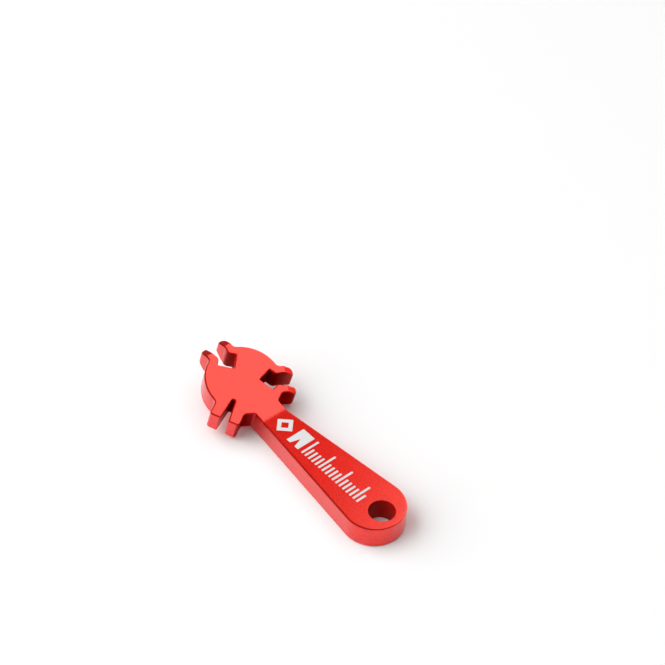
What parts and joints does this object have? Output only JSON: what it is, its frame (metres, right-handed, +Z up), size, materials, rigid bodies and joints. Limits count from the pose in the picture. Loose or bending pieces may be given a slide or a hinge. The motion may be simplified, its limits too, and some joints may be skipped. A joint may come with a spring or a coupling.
{
  "type": "spoke wrench",
  "caption": "Flat spoke wrench folded up at the neck, with square nipple jaws and a tapered slot for bladed spokes on its round head, and a key-ring hole in its tapered handle.",
  "frame": {"origin": "centre of the key-ring hole on the underside of the handle", "axes": "+X along the handle towards the head, +Z up out of the handle's marked face, so the head is folded up towards +Z and the blade slot is on the +Y side"},
  "size_m": [0.0563, 0.021, 0.0097],
  "materials": {
    "red_anodised_aluminium": "satin red anodised, fine grained",
    "white_paint": "matte white paint filled into shallow pockets"
  },
  "bodies": {
    "root": {"head": "red_anodised_aluminium", "handle": "red_anodised_aluminium", "jaw_mark": "white_paint", "slot_mark": "white_paint", "scale_marks": "white_paint"}
  },
  "joints": []
}
